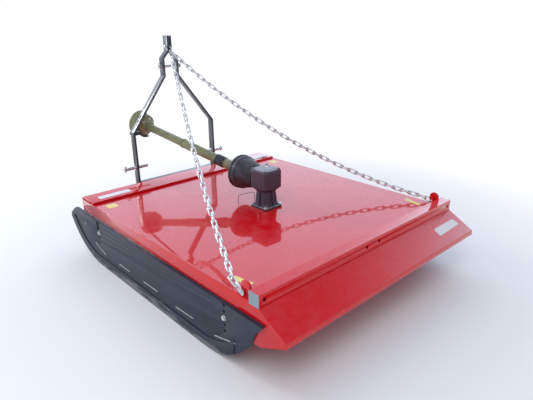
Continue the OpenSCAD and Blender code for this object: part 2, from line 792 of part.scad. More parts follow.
module guard_collar() color(black) parked() y_rod(collar_r, collar_t0, collar_t1);

module guard_outer_tube() color(olive) parked() difference() {
  y_rod(guard_r, collar_t1, outer_t1);
  y_rod(inner_r + seat_fit, collar_t1 + 1, outer_t1 + 1);
}

module guard_inner_tube() color(olive) parked() difference() {
  y_rod(inner_r, inner_t0, front_bell_t0);
  y_rod(inner_r - inner_wall, inner_t0 - 1, front_bell_t0 + 1);
}

// The front bell: its shoulder stands across the shaft, and its skirt opens towards the tractor
module guard_front_bell() color(olive) parked() rotate([-90, 0, 0]) rotate_extrude() {
  w = front_bell_wall;
  shoulder = front_bell_t0 + shoulder_l;
  bore = drive_r + turn_fit;
  polygon([[bore, front_bell_t0], [inner_r + 6, front_bell_t0], [front_bell_r0, shoulder],
    [front_bell_r1, front_bell_t1], [front_bell_r1 - w, front_bell_t1], [front_bell_r0 - w, shoulder + w],
    [inner_r + 6 - w, front_bell_t0 + w], [bore, front_bell_t0 + w]]);
}

module at_front_joint(turn) parked() translate([0, front_joint_t, 0]) rotate([0, turn, 0]) children();

module drive_tube() color(steel) {
  parked() y_rod(drive_r, outer_t1 + drive_clear, front_joint_t - yoke_l - 5);
  at_front_joint(0) rotate([0, 0, 180]) yoke_ears(yoke_l + 12, drive_r);
}

module front_cross() color(steel) at_front_joint(0) {
  translate([0, 0, -trunnion_l]) cylinder(r = trunnion_r, h = 2 * trunnion_l);
  sphere(r = 15);
  x_rod(trunnion_r, -trunnion_l, trunnion_l);
}

module front_yoke() color(steel) difference() {
  at_front_joint(90) union() {
    yoke_ears(yoke_l + 10, socket_r);
    y_rod(socket_r, yoke_l, yoke_t1 - front_joint_t);
  }
  parked() y_rod(spline_r, front_joint_t + yoke_l - 1, yoke_t1 + 1);
}

// Rotor

hub_top = deck_h - spigot_d - 5;
blade_z = carrier_z - blade_gap - blade_t;
pivot_r = side - side_t - tip_gap - blade_l;

module at_rotor() place() translate([0, rotor_y, 0]) children();

module rotor_hub() color(slate) at_rotor() {
  translate([0, 0, carrier_z + carrier_t]) cylinder(r = rotor_hub_r, h = hub_top - carrier_z - carrier_t);
  translate([0, 0, hub_top - 1]) cylinder(r = rotor_shaft_r, h = deck_h - deck_t - 3 - hub_top + 1);
}

module blade_carrier() color(slate) at_rotor() difference() {
  translate([0, 0, carrier_z]) linear_extrude(carrier_t) union() {
    square([2 * pivot_r, carrier_w], center = true);
    for (s = [-1, 1]) translate([s * pivot_r, 0]) circle(r = carrier_w / 2);
  }
  for (s = [-1, 1]) translate([s * pivot_r, 0, carrier_z - 1])
    cylinder(r = blade_bolt_r + seat_fit, h = carrier_t + 2);
}

module blade_bolts() color(zinc) at_rotor() {
  head = 8;
  under = blade_z - 2;
  for (s = [-1, 1]) translate([s * pivot_r, 0, 0]) {
    translate([0, 0, under - head]) cylinder(r = 1.7 * blade_bolt_r, h = head, $fn = 6);
    translate([0, 0, under - 1]) cylinder(r = blade_bolt_r, h = carrier_z + carrier_t + 26 - under);
    translate([0, 0, carrier_z + carrier_t]) cylinder(r = 1.7 * blade_bolt_r, h = 18, $fn = 6);
  }
}

module blade_left() color(steel) at_rotor() difference() {
  translate([-pivot_r, 0, blade_z]) linear_extrude(blade_t) union() {
    circle(r = blade_w / 2);
    translate([-blade_l, -blade_w / 2]) square([blade_l, blade_w]);
  }
  translate([-pivot_r, 0, blade_z - 1]) cylinder(r = blade_bolt_r + turn_fit, h = blade_t + 2);
}

module blade_right() color(steel) at_rotor() difference() {
  translate([pivot_r, 0, blade_z]) linear_extrude(blade_t) union() {
    circle(r = blade_w / 2);
    translate([0, -blade_w / 2]) square([blade_l, blade_w]);
  }
  translate([pivot_r, 0, blade_z - 1]) cylinder(r = blade_bolt_r + turn_fit, h = blade_t + 2);
}

deck_plate();
front_strip();
front_apron();
side_plate_left();
side_plate_right();
rear_tube();
tube_plugs();
rear_skirt();
chain_lug_left();
chain_lug_right();
lug_bolts();
skid_left();
skid_right();
wear_strip_left();
wear_strip_right();
skid_bolts();
mast_bar_left();
mast_bar_right();
mast_beam();
top_link_pin();
lower_pins();
shaft_rest();
chain_bolt();
master_link();
chain_left();
chain_right();
gearbox_housing();
gearbox_cover();
bell_guard();
input_yoke();
joint_cross();
rear_yoke();
guard_neck();
guard_collar();
guard_outer_tube();
guard_inner_tube();
guard_front_bell();
drive_tube();
front_cross();
front_yoke();
rotor_hub();
blade_carrier();
blade_bolts();
blade_left();
blade_right();
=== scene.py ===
# A tractor-mounted rotary cutter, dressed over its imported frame.
# Lengths are in metres. +Y points to the tractor, +X to the right, and Z = 0 is the ground.
import json
import math
import random

import bmesh
import bpy
import numpy as np
from mathutils import Matrix, Vector


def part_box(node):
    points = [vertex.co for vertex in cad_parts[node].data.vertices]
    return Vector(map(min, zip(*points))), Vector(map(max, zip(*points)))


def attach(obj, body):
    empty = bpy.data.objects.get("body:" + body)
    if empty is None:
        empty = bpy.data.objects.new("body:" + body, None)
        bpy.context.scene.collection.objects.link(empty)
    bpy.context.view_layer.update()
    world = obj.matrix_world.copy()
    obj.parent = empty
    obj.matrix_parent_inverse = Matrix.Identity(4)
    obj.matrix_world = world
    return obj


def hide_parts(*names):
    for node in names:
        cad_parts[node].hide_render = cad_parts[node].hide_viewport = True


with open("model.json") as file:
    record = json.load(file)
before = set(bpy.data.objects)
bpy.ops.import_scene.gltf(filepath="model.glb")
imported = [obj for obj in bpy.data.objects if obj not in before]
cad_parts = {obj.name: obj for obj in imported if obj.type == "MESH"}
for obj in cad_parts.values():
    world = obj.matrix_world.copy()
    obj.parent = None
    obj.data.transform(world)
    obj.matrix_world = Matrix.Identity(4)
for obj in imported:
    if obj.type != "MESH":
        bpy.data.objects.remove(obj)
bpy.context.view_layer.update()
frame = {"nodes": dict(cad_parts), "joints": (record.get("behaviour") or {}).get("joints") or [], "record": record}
record = frame["record"]
random.seed(7)


# Camera
# It stands behind the machine's left rear corner, a little above the mast, and looks down along the
# deck's diagonal. Its place is given from the rear edge of the deck's top face.
deck_low, deck_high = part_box("deck_plate")
tube_front = deck_low.y
deck_top = deck_high.z
heading = math.radians(42.33)
fall = math.radians(20.78)
roll = math.radians(-0.79)
ahead = Vector((math.sin(heading) * math.cos(fall), math.cos(heading) * math.cos(fall), -math.sin(fall)))
level = Vector((math.cos(heading), -math.sin(heading), 0))
above = level.cross(ahead)
camera_x = level * math.cos(roll) + above * math.sin(roll)
camera_y = above * math.cos(roll) - level * math.sin(roll)
camera_data = bpy.data.cameras.new("camera")
camera_data.sensor_width = 36
camera_data.lens = 32.7
camera_data.clip_end = 200
camera = bpy.data.objects.new("camera", camera_data)
camera.matrix_world = Matrix((camera_x, camera_y, -ahead)).transposed().to_4x4()
camera.location = (-1.816, tube_front - 1.285, deck_top + 1.060)
bpy.context.collection.objects.link(camera)
bpy.context.scene.camera = camera


# Sheet-metal deck
# One flat sheet, sprayed a glossy red, and lightly dusty. The strip along its front edge is folded
# from sheet, and the apron below it is the foremost plate.
class Wire:
    """A value on its way to a shader socket. Arithmetic on it adds the Math nodes."""

    def __init__(self, finish, socket):
        self.finish = finish
        self.socket = socket

    def math(self, operation, first, second=0.0):
        return self.finish.node("ShaderNodeMath", {"operation": operation}, {0: first, 1: second})

    def __add__(self, other):
        return self.math("ADD", self, other)

    def __sub__(self, other):
        return self.math("SUBTRACT", self, other)

    def __rsub__(self, other):
        return self.math("SUBTRACT", other, self)

    def __mul__(self, other):
        return self.math("MULTIPLY", self, other)

    __radd__ = __add__
    __rmul__ = __mul__

    def above(self, limit, softness):
        span = {"interpolation_type": "SMOOTHSTEP"}
        ends = {"Value": self, "From Min": limit - softness, "From Max": limit + softness}
        return self.finish.node("ShaderNodeMapRange", span, ends)


class Finish:
    """One paint, metal or plastic: its material, its slot in the record, and its nodes."""

    def __init__(self, name, slot, roughness=0.5, metallic=0.0, coat=0.0, coat_roughness=0.05):
        self.slot = slot
        self.material = bpy.data.materials.new(name)
        self.material.use_nodes = True
        self.tree = self.material.node_tree
        self.shader = self.tree.nodes["Principled BSDF"]
        self.shader.inputs["Roughness"].default_value = roughness
        self.shader.inputs["Metallic"].default_value = metallic
        self.shader.inputs["Coat Weight"].default_value = coat
        self.shader.inputs["Coat Roughness"].default_value = coat_roughness
        self.place = self.node("ShaderNodeTexCoord", {}, {}, "Object")

    def node(self, kind, settings, sockets, output=0):
        node = self.tree.nodes.new(kind)
        for name, value in settings.items():
            setattr(node, name, value)
        for key, value in sockets.items():
            self.feed(node.inputs[key], value)
        return Wire(self, node.outputs[output])

    def feed(self, socket, value):
        if isinstance(value, Wire):
            self.tree.links.new(value.socket, socket)
        else:
            socket.default_value = value

    def set(self, **values):
        for name, value in values.items():
            self.feed(self.shader.inputs[name.replace("_", " ")], value)

    def noise(self, scale, detail=3.0, roughness=0.5, stretch=(1, 1, 1)):
        place = self.node("ShaderNodeMapping", {}, {"Vector": self.place, "Scale": stretch})
        settings = {"Vector": place, "Scale": scale, "Detail": detail, "Roughness": roughness}
        return self.node("ShaderNodeTexNoise", {}, settings, "Fac")

    def along(self, axis):
        return self.node("ShaderNodeSeparateXYZ", {}, {0: self.place}, axis)

    def facing_up(self):
        normal = self.node("ShaderNodeNewGeometry", {}, {}, "Normal")
        return self.node("ShaderNodeSeparateXYZ", {}, {0: normal}, "Z")

    def blend(self, mask, first, second):
        colours = {"Factor": mask, 6: first, 7: second}
        return self.node("ShaderNodeMix", {"data_type": "RGBA"}, colours, 2)

    def bump(self, height, depth, strength=1.0):
        values = {"Height": height, "Distance": depth, "Strength": strength}
        self.set(Normal=self.node("ShaderNodeBump", {}, values))


def tone(red, green, blue):
    """A colour as a paint chart gives it, 0 to 255, turned to the linear one that a socket takes."""
    return tuple(((v / 255 + 0.055) / 1.055) ** 2.4 for v in (red, green, blue)) + (1,)


def body_of(node):
    return next(body for body, nodes in record["behaviour"]["bodies"].items() if node in nodes)


def keep(node, finish):
    solid = frame["nodes"][node]
    solid.data.materials.clear()
    solid.data.materials.append(finish.material)


def make(name, shape, finish, body, hides=(), edge=0.0, crease=35, steps=2):
    if not edge:
        for line in shape.edges:
            line.smooth = len(line.link_faces) == 2 and line.calc_face_angle(0) < math.radians(crease)
    mesh = bpy.data.meshes.new(name)
    shape.to_mesh(mesh)
    shape.free()
    mesh.polygons.foreach_set("use_smooth", [True] * len(mesh.polygons))
    mesh.materials.append(finish.material)
    piece = bpy.data.objects.new(name, mesh)
    bpy.context.collection.objects.link(piece)
    if edge:
        rounding = piece.modifiers.new("rounding", "BEVEL")
        rounding.width = edge
        rounding.segments = steps
        rounding.limit_method = "ANGLE"
        rounding.angle_limit = math.radians(crease)
        rounding.harden_normals = True
    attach(piece, body)
    if hides:
        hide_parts(*hides)
    return piece


def copy_of(node):
    shape = bmesh.new()
    shape.from_mesh(frame["nodes"][node].data)
    bmesh.ops.remove_doubles(shape, verts=shape.verts, dist=1e-5)
    bmesh.ops.dissolve_limit(shape, angle_limit=math.radians(0.5), verts=shape.verts, edges=shape.edges)
    return shape


def rounded(node, finish, edge=0.0012):
    return make(node + "_dressed", copy_of(node), finish, body_of(node), hides=(node,), edge=edge)


red_paint = Finish("red_paint", "red_paint", coat=1.0, coat_roughness=0.03)
red_paint.shader.inputs["Specular IOR Level"].default_value = 0.08
dust = red_paint.noise(1.7, 6, 0.6) * red_paint.noise(23, 3)
film = red_paint.facing_up().above(0.6, 0.3) * dust.above(0.27, 0.12)
red_paint.set(Base_Color=red_paint.blend(film * 0.1, tone(212, 3, 20), tone(206, 110, 128)))
red_paint.set(Roughness=0.24 + film * 0.2)
red_paint.bump(red_paint.noise(5, 2) + red_paint.noise(160, 1) * 0.02, 0.001, 0.16)
keep("deck_plate", red_paint)
for node in ("front_strip", "front_apron", "side_plate_left", "side_plate_right"):
    rounded(node, red_paint)


# Welds of the deck
# Every steel plate is joined by a hand-laid bead, painted over with the rest. A bead is a row of
# small overlapping drops.
def bead(shape, start, end, width=0.006):
    run = end - start
    count = max(2, round(run.length / (width * 0.55)))
    for step in range(count + 1):
        wobble = Vector([random.uniform(-1, 1) for _ in range(3)]) * width * 0.07
        drop = bmesh.ops.create_icosphere(shape, subdivisions=1, radius=width / 2)["verts"]
        bmesh.ops.translate(shape, vec=start + run * step / count + wobble, verts=drop)


def spot(x, y, z):
    """A point given from the middle of the deck's rear edge, at its top face."""
    return Vector((x, tube_front + y, deck_top + z))


lug_low, lug_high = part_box("chain_lug_right")
tube_low, tube_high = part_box("rear_tube")
welds = bmesh.new()
bead(welds, spot(tube_low.x + 0.004, 0, 0), spot(tube_high.x - 0.004, 0, 0), 0.005)
for side in (-1, 1):
    for foot in (side * lug_low.x, side * lug_high.x):
        bead(welds, Vector((foot, lug_low.y, deck_top)), Vector((foot, lug_high.y, deck_top)))
make("painted_welds", welds, red_paint, "frame", crease=80)


# Rear tube and skirt
# A square tube closes the deck's rear. Below it the skirt falls backwards, and ends in a short
# folded lip.
rounded("rear_tube", red_paint, 0.004)
rounded("rear_skirt", red_paint)
for node in ("chain_lug_left", "chain_lug_right"):
    rounded(node, red_paint)


# Tube end plugs
# Soft grey-blue plastic mouldings, pushed into the tube's open ends, with a shallow dished face.
def block(shape, low, high):
    low, high = Vector(low), Vector(high)
    made = bmesh.ops.create_cube(shape, size=1)["verts"]
    bmesh.ops.scale(shape, vec=high - low, verts=made)
    bmesh.ops.translate(shape, vec=(low + high) / 2, verts=made)
    return made


plug_grey = Finish("plug_grey", "plug_grey", roughness=0.5)
grain = plug_grey.noise(60, 4)
plug_grey.set(Base_Color=plug_grey.blend(grain, tone(134, 150, 164), tone(154, 168, 180)))
plug_grey.bump(grain, 0.0005, 0.3)
plug_low, plug_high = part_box("tube_plugs")
plugs = bmesh.new()
for side in (-1, 1):
    inner, outer = sorted((side * tube_high.x, side * plug_high.x))
    cap = block(plugs, (inner, plug_low.y, plug_low.z), (outer, plug_high.y, plug_high.z))
    face = max({f for v in cap for f in v.link_faces}, key=lambda f: side * f.calc_center_median().x)
    bmesh.ops.inset_individual(plugs, faces=[face], thickness=0.006)
    bmesh.ops.inset_individual(plugs, faces=[face], thickness=0.003, depth=-0.0015)
make("tube_end_plugs", plugs, plug_grey, "frame", hides=("tube_plugs",), edge=0.0008)


# Zinc-plated fasteners
# Bolts, nuts, washers and pins are plated a bright zinc, a little cloudy and dull in places. The
# last link of each chain hangs on the lug's bolt.
def rod(shape, start, end, radius, tip=None, sides=24):
    run = end - start
    place = Matrix.Translation((start + end) / 2) @ run.to_track_quat("Z", "Y").to_matrix().to_4x4()
    tip = radius if tip is None else tip
    made = bmesh.ops.create_cone(shape, cap_ends=True, segments=sides, radius1=radius, radius2=tip,
                                 depth=run.length, matrix=place)
    return made["verts"]


def bolt_head(shape, seat, way, radius, height):
    """A washer, a hexagon head and its turned top, standing on a seat."""
    rod(shape, seat, seat + way * 0.0015, radius * 1.2)
    rod(shape, seat + way * 0.0015, seat + way * height * 0.8, radius, sides=6)
    rod(shape, seat + way * height * 0.8, seat + way * height, radius * 0.92, radius * 0.7, sides=24)


zinc = Finish("zinc", "zinc", metallic=0.85)
cloud = zinc.noise(35, 4, 0.6)
zinc.set(Base_Color=zinc.blend(cloud, tone(196, 198, 201), tone(232, 234, 236)))
zinc.set(Roughness=0.24 + cloud * 0.22)
zinc.bump(zinc.noise(300, 2), 0.0002, 0.25)
bolt_low, bolt_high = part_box("lug_bolts")
bolt_y, bolt_z = (bolt_low.y + bolt_high.y) / 2, (bolt_low.z + bolt_high.z) / 2
bolt_r = (bolt_high.z - bolt_low.z) / 2 / 1.05
lug_bolts = bmesh.new()
for side in (-1, 1):
    tip = Vector((side * bolt_high.x, bolt_y, bolt_z))
    way = Vector((side, 0, 0))
    back = Vector((side * lug_low.x, bolt_y, bolt_z))
    bolt_head(lug_bolts, tip - way * 0.006, way, bolt_r * 0.8, 0.006)
    rod(lug_bolts, tip - way * 0.004, back - way * 0.012, bolt_r * 0.5)
    bolt_head(lug_bolts, back, -way, bolt_r * 0.8, 0.006)
make("lug_bolts_dressed", lug_bolts, zinc, "frame", hides=("lug_bolts",), edge=0.0003)


# Skids
# Each skid is one plate with a turned edge, painted dark slate. A wear strip of flat bar is stitched
# to its outside by short welds. Along the bottom both are painted a light grey, a painted reflection
# of the pale ground, and a stretched noise adds scraped bare patches.
slate = Finish("slate_paint", "slate_paint", roughness=0.45)
patch = slate.noise(5, 6, 0.65)
scrape = slate.noise(40, 5, 0.7, (0.6, 0.12, 1.0))
# Painted reflection: below about 85 mm the paint is pushed to a light grey, standing in for the pale ground
# mirrored in the paint. The noise adds scraped bare patches.
ground_sheen_band = 1.0 - slate.along("Z").above(0.045, 0.04)
bare_and_ground_sheen = (scrape + ground_sheen_band * 0.25).above(0.72, 0.05)
painted = slate.blend(patch.above(0.5, 0.2), tone(30, 39, 57), tone(44, 54, 73))
slate.set(Base_Color=slate.blend(bare_and_ground_sheen, painted, tone(120, 122, 126)))
slate.set(Roughness=0.36 + patch * 0.25)
slate.bump(slate.noise(90, 3) * 0.4 + patch, 0.0006, 0.35)
for node in ("skid_left", "skid_right", "wear_strip_left", "wear_strip_right"):
    rounded(node, slate)

weld_scale = Finish("weld_scale", "slate_paint", roughness=0.45, metallic=0.25)
burn = weld_scale.noise(120, 3)
weld_scale.set(Base_Color=weld_scale.blend(burn, tone(140, 142, 150), tone(205, 204, 204)))
weld_scale.bump(burn, 0.0006, 0.5)
strip_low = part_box("wear_strip_right")[0]
skid_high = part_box("skid_right")[1]
stitches = (
    ((1.589, -0.084), (1.547, -0.146)),
    ((1.430, -0.235), (1.311, -0.273)),
    ((1.129, -0.269), (1.009, -0.268)),
    ((0.850, -0.267), (0.711, -0.265)),
    ((0.536, -0.275), (0.388, -0.269)),
    ((0.216, -0.274), (0.074, -0.239)),
)
strip_welds = bmesh.new()
for side in (-1, 1):
    for (start_y, start_z), (end_y, end_z) in stitches:
        x = side * (strip_low.x + 0.001)
        bead(strip_welds, spot(x, start_y, start_z), spot(x, end_y, end_z), 0.007)
make("strip_welds", strip_welds, weld_scale, "frame", crease=80)


# Skid bolts
# Two bolts hold each skid to its side plate, one through each row of height holes. A washer lies
# under each head and each nut.
column_low, column_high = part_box("skid_bolts")
nut_seat = 0.744
skid_bolts = bmesh.new()
for side in (-1, 1):
    way = Vector((side, 0, 0))
    for y in (column_low.y + 0.012, column_high.y - 0.012):
        height = (column_low.z + column_high.z) / 2
        seat = Vector((side * skid_high.x, y, height))
        head_seat = Vector((side * (column_high.x - 0.009), y, height))
        bolt_head(skid_bolts, head_seat, way, 0.011, 0.009)
        rod(skid_bolts, head_seat, Vector((side * (nut_seat - 0.004), y, height)), 0.0065)
        bolt_head(skid_bolts, Vector((side * nut_seat, y, height)), -way, 0.011, 0.009)
make("skid_bolts_dressed", skid_bolts, zinc, "frame", hides=("skid_bolts",), edge=0.0003)


# Mast
# Two legs of bent flat bar and a square beam, painted slate grey and welded to the deck's front. The
# left leg carries a small cradle in which the parked drive shaft lies.
mast_paint = Finish("mast_paint", "mast_paint", coat=0.6, coat_roughness=0.12)
patch = mast_paint.noise(6, 5, 0.6)
mast_paint.set(Base_Color=mast_paint.blend(patch, tone(34, 41, 55), tone(48, 56, 71)))
mast_paint.set(Roughness=0.3 + patch * 0.22)
mast_paint.bump(mast_paint.noise(120, 2) * 0.3 + mast_paint.noise(14, 3), 0.0005, 0.35)
for node in ("mast_bar_left", "mast_bar_right"):
    rounded(node, mast_paint, 0.0015)
rounded("mast_beam", mast_paint, 0.004)
rounded("shaft_rest", mast_paint, 0.0008)

bar_low, bar_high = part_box("mast_bar_right")
beam_low, beam_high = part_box("mast_beam")
mast_welds = bmesh.new()
for side in (-1, 1):
    for z in (beam_low.z, beam_high.z):
        x = side * beam_high.x
        bead(mast_welds, Vector((x, bar_low.y, z)), Vector((x, beam_high.y, z)), 0.006)
make("mast_welds", mast_welds, mast_paint, "frame", crease=80)


# Link pins
# Two pins for the tractor's lower arms and one for its top link, each held by a linch pin with a
# sprung ring.
def ring(shape, centre, axis, radius, wire, steps=28):
    """A closed ring of round wire."""
    turn = axis.to_track_quat("Z", "Y").to_matrix()
    start = centre + turn @ Vector((radius, 0, 0))
    side = Matrix.Translation(start) @ turn.to_4x4() @ Matrix.Rotation(math.pi / 2, 4, "X")
    loop = bmesh.ops.create_circle(shape, segments=10, radius=wire / 2, matrix=side)["verts"]
    edges = list({e for v in loop for e in v.link_edges})
    bmesh.ops.spin(shape, geom=loop + edges, cent=centre, axis=axis, angle=math.tau, steps=steps,
                   use_merge=True)


def linch_pin(shape, hole, up, out, wire=0.0042):
    """A short pin through a hole, with its ring hanging to one side."""
    rod(shape, hole - up * 0.020, hole + up * 0.016, wire)
    rod(shape, hole + up * 0.014, hole + up * 0.022, wire * 1.7)
    centre = hole + up * 0.002 + out * 0.006
    ring(shape, centre, (out * 0.76 + up * 0.25 - Vector((0, 0.6, 0))).normalized(), 0.0185, wire * 0.62)


pin_low, pin_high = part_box("lower_pins")
pin_y, pin_z = (pin_low.y + pin_high.y) / 2, (pin_low.z + pin_high.z) / 2
pin_r, inner_tip_x = 0.011, 0.237
pins = bmesh.new()
for side in (-1, 1):
    way = Vector((side, 0, 0))
    face = Vector((side * bar_high.x, pin_y, pin_z))
    tip = Vector((side * pin_high.x, pin_y, pin_z))
    rod(pins, face - way * 0.012, tip - way * 0.003, pin_r)
    rod(pins, tip - way * 0.003, tip, pin_r, 0.0085)
    rod(pins, face, face + way * 0.010, 0.019)
    linch_pin(pins, tip - way * 0.012, Vector((0, 0, 1)), way)
    inner = face - way * (bar_high.x - inner_tip_x)
    back = face - way * 0.012
    rod(pins, back, inner + way * 0.003, pin_r)
    rod(pins, inner + way * 0.003, inner, pin_r, 0.0085)
    bolt_head(pins, back, -way, 0.0155, 0.010)
make("lower_pins_dressed", pins, zinc, "frame", hides=("lower_pins",), edge=0.0004)

top_low, top_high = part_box("top_link_pin")
top_y, top_z = (top_low.y + top_high.y) / 2, (top_low.z + top_high.z) / 2
top_pin = bmesh.new()
right_end, left_end = Vector((top_high.x, top_y, top_z)), Vector((top_low.x, top_y, top_z))
rod(top_pin, left_end + Vector((0.003, 0, 0)), right_end, 0.0095)
rod(top_pin, left_end, left_end + Vector((0.003, 0, 0)), 0.007, 0.0095)
rod(top_pin, right_end - Vector((0.008, 0, 0)), right_end, 0.0152)
linch_pin(top_pin, left_end + Vector((0.012, 0, 0)), Vector((0, 0.3, 0.954)), Vector((-1, 0, 0)))
make("top_link_pin_dressed", top_pin, zinc, "frame", hides=("top_link_pin",), edge=0.0004)


# Gearbox
# A painted iron casting: a square foot, an eight-sided neck with ribs, and a square body that tapers
# to the neck. Its lid has a raised rim and four cap screws, and the foot is bolted to the deck.
casting = Finish("gearbox_paint", "casting", coat=0.25, coat_roughness=0.25)
pits = casting.noise(70, 5, 0.7)
tint = casting.noise(8, 4)
painted = casting.blend(tint, tone(52, 45, 62), tone(68, 61, 78))
# Painted highlight: faces turned up are painted a pale lavender grey, as the sky light falls on them.
lit_tops_sheen = casting.facing_up().above(0.8, 0.15) * (0.45 + tint * 0.2)
casting.set(Base_Color=casting.blend(lit_tops_sheen, painted, tone(176, 174, 184)))
casting.set(Roughness=0.38 + pits * 0.25)
casting.bump(pits + casting.noise(260, 2) * 0.4, 0.0016, 0.5)

box_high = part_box("gearbox_housing")[1]
lid_low, lid_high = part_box("gearbox_cover")
gear_y = (lid_low.y + lid_high.y) / 2 - tube_front


def slab(shape, sections, centre):
    """Square sections with cut corners, lofted from bottom to top: height, half width, cut."""
    loops = []
    for height, half, cut in sections:
        level_z = spot(centre[0], centre[1], height)
        place = Matrix.Translation(level_z)
        made = bmesh.ops.create_circle(shape, segments=8, radius=1, matrix=place)["verts"]
        made.sort(key=lambda v: math.atan2(v.co.y - level_z.y, v.co.x - level_z.x) % math.tau)
        inner = half - cut
        outline = ((half, inner), (inner, half), (-inner, half), (-half, inner),
                   (-half, -inner), (-inner, -half), (inner, -half), (half, -inner))
        for vert, (x, y) in zip(made, outline):
            vert.co = level_z + Vector((x, y, 0))
        for first, second in zip(made, made[1:] + made[:1]):
            if not shape.edges.get((first, second)):
                shape.edges.new((first, second))
        loops.append([shape.edges.get((a, b)) for a, b in zip(made, made[1:] + made[:1])])
    for lower, upper in zip(loops, loops[1:]):
        bmesh.ops.bridge_loops(shape, edges=lower + upper)
    bmesh.ops.holes_fill(shape, edges=loops[0] + loops[-1], sides=0)
    bmesh.ops.recalc_face_normals(shape, faces=shape.faces)


body = bmesh.new()
half = (lid_high.x - lid_low.x) / 2 + 0.003
slab(body, (
    (0.000, 0.070, 0.012), (0.012, 0.070, 0.012), (0.013, 0.060, 0.016), (0.024, 0.056, 0.020),
    (0.100, 0.050, 0.021), (0.106, 0.052, 0.020), (0.124, half, 0.010), (0.222, half, 0.008),
    (0.2255, half - 0.002, 0.008),
), (0, gear_y))
for way in (Vector((1, 0, 0)), Vector((-1, 0, 0)), Vector((0, -1, 0)), Vector((0, 1, 0))):
    across = Vector((-way.y, way.x, 0))
    rib = block(body, (-0.005, -0.005, 0), (0.005, 0.005, 0.100))
    for vert in rib:
        reach = 0.056 if vert.co.z > 0.05 else 0.066
        flat_x, flat_y = vert.co.x, reach if vert.co.y > 0 else 0.040
        vert.co = spot(0, gear_y, vert.co.z + 0.008) + across * flat_x + way * flat_y
boss_y = box_high.y - tube_front
input_z = (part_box("input_yoke")[0].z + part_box("input_yoke")[1].z) / 2 - deck_top
rod(body, spot(0, gear_y + 0.04, input_z), spot(0, boss_y, input_z), 0.044, sides=48)
plug_seat = spot(-half - 0.0005, gear_y - 0.028, 0.168)
rod(body, plug_seat + Vector((0.0025, 0, 0)), plug_seat, 0.013, sides=6)
make("gearbox_dressed", body, casting, "frame", hides=("gearbox_housing",), edge=0.0026, crease=20)

lid = bmesh.new()
lid_half = (lid_high.x - lid_low.x) / 2
lid_base, lid_top = lid_low.z - deck_top, lid_high.z - deck_top
slab(lid, (
    (lid_base, lid_half, 0.010), (lid_base + 0.006, lid_half, 0.010),
    (lid_base + 0.0065, lid_half - 0.005, 0.010),
    (lid_top - 0.004, lid_half - 0.006, 0.010), (lid_top - 0.0035, lid_half - 0.018, 0.008),
    (lid_top - 0.002, lid_half - 0.020, 0.008),
), (0, gear_y))
screw_out = lid_half - 0.013
for x in (-1, 1):
    for y in (-1, 1):
        seat = spot(x * screw_out, gear_y + y * screw_out, lid_base + 0.006)
        rod(lid, seat, seat + Vector((0, 0, 0.0035)), 0.0115)
make("gearbox_lid", lid, casting, "frame", hides=("gearbox_cover",), edge=0.0016, crease=20)

dark_steel = Finish("dark_steel", "casting", roughness=0.35, metallic=0.8)
wear = dark_steel.noise(60, 3)
dark_steel.set(Base_Color=dark_steel.blend(wear, tone(48, 48, 54), tone(96, 98, 106)))
dark_steel.bump(wear, 0.0003, 0.3)
lid_screws = bmesh.new()
for x in (-1, 1):
    for y in (-1, 1):
        seat = spot(x * screw_out, gear_y + y * screw_out, lid_base + 0.0092)
        rod(lid_screws, seat, seat + Vector((0, 0, 0.0022)), 0.0072, 0.0062, sides=6)
make("lid_screws", lid_screws, dark_steel, "frame", edge=0.0004)
breather = bmesh.new()
vent_top = spot(0.018, gear_y + 0.014, lid_top - 0.0005)
rod(breather, vent_top - Vector((0, 0, 0.0025)), vent_top, 0.009, sides=6)
make("breather_plug", breather, zinc, "frame", edge=0.0004)

foot_bolts = bmesh.new()
foot_bolt_out, foot_t = 0.0575, 0.012
for x in (-1, 1):
    for y in (-1, 1):
        seat = spot(x * foot_bolt_out, gear_y + y * foot_bolt_out, foot_t)
        bolt_head(foot_bolts, seat, Vector((0, 0, 1)), 0.0105, 0.0085)
make("foot_bolts", foot_bolts, zinc, "frame", edge=0.0005)


# Bell guard
# A black plastic cone over the input joint, screwed to the gearbox, with a double bead round its
# rim.
def lathe(shape, profile, origin, axis, closed=True, steps=72):
    """Turns an outline of (distance along the axis, radius) about that axis."""
    turn = axis.to_track_quat("Z", "Y").to_matrix()
    points = [shape.verts.new(origin + turn @ Vector((radius, 0, along))) for along, radius in profile]
    pairs = list(zip(points, points[1:])) + ([(points[-1], points[0])] if closed else [])
    lines = [shape.edges.new(pair) for pair in pairs]
    bmesh.ops.spin(shape, geom=points + lines, cent=origin, axis=axis, angle=math.tau, steps=steps,
                   use_merge=True)
    bmesh.ops.remove_doubles(shape, verts=shape.verts, dist=1e-6)
    bmesh.ops.recalc_face_normals(shape, faces=shape.faces)


